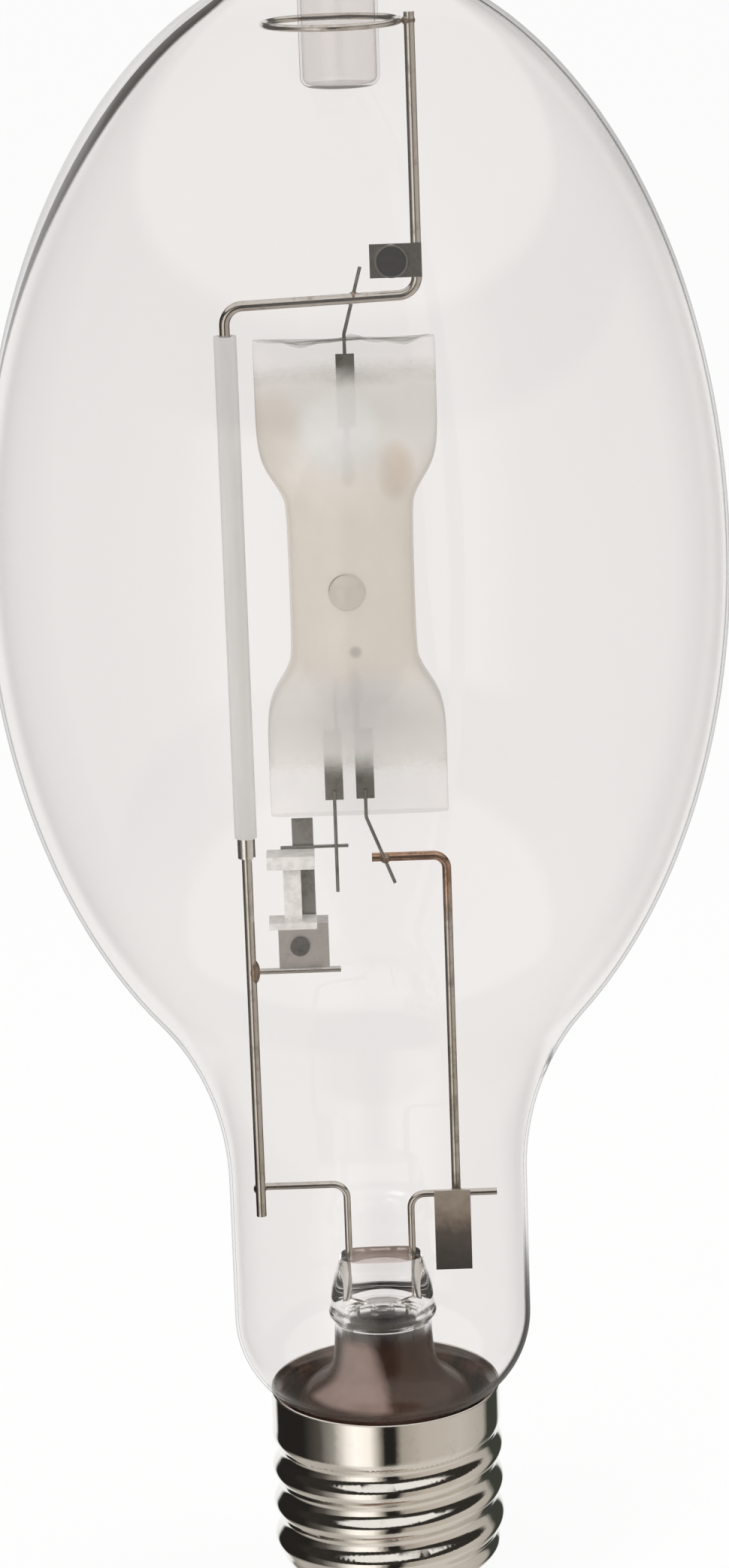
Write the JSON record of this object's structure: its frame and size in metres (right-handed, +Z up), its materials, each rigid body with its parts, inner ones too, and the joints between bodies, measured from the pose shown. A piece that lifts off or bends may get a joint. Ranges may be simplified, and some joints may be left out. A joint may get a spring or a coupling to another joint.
{
  "type": "high intensity discharge lamp",
  "caption": "Clear elliptical discharge lamp on a screw base: quartz arc tube with pinched ends in a wire frame, with a bimetal starting switch.",
  "frame": {"origin": "middle of the underside of the centre contact, on the lamp's axis", "axes": "+Z up the lamp's axis from the base to the bulb's crown, +X across the wide faces of the arc tube's pinches, -Y towards the side that shows the getter and the starting switch"},
  "size_m": [0.1206, 0.1206, 0.2793],
  "materials": {
    "clear_glass": "clear polished",
    "stem_clear_glass": "clear polished",
    "lead_steel": "drawn nickelled wire",
    "rod_steel": "drawn wire",
    "sleeve_quartz": "milky fused tube",
    "clip_steel": "bright spring strip",
    "plate_steel": "satin",
    "cup_steel": "bright rim",
    "getter_black": "matt powder",
    "quartz": "clear with frosted ends",
    "foil_metal": "satin foil",
    "fine_lead_metal": "drawn wire",
    "tungsten": "drawn wire",
    "return_steel": "heat tinted wire",
    "flag_metal": "heat stained strip",
    "switch_steel": "drawn wire",
    "bracket_steel": "satin sheet",
    "rivet_steel": "dark satin",
    "spool_ceramic": "white glazed ceramic",
    "bimetal": "satin strip",
    "nickel_shell": "bright nickel plate",
    "brown_cement": "matt",
    "black_glass": "glossy",
    "contact_brass": "satin",
    "solder": "dull"
  },
  "bodies": {
    "lamp": {"glass_envelope": "clear_glass", "stem_glass": "stem_clear_glass", "left_stem_lead": "lead_steel", "right_stem_lead": "lead_steel", "frame_rod": "rod_steel", "dimple_ring": "rod_steel", "frame_sleeve": "sleeve_quartz", "sleeve_clip": "clip_steel", "getter_plate": "plate_steel", "getter_cup": "cup_steel", "getter_fill": "getter_black", "arc_tube": "quartz", "upper_foil": "foil_metal", "lower_foil": "foil_metal", "starter_foil": "foil_metal", "upper_lead": "fine_lead_metal", "lower_lead": "fine_lead_metal", "starter_lead": "fine_lead_metal", "upper_electrode": "tungsten", "lower_electrode": "tungsten", "starting_electrode": "tungsten", "return_rod": "return_steel", "getter_flag": "flag_metal", "switch_wire": "switch_steel", "switch_bracket": "bracket_steel", "strip_rivet": "rivet_steel", "switch_spool": "spool_ceramic", "contact_wire": "fine_lead_metal", "base_shell": "nickel_shell", "base_cement": "brown_cement", "base_insulator": "black_glass", "centre_contact": "contact_brass", "centre_solder": "solder"},
    "strip": {"bimetal_strip": "bimetal"}
  },
  "joints": [
    {"name": "bimetal_opening", "type": "hinge", "parent": "lamp", "child": "strip", "pos_m": [-0.0105, 0.00105, 0.12335], "axis": [-1, 0, 0], "range_deg": [0, 7], "stiffness_Nm_per_rad": 0.05}
  ]
}
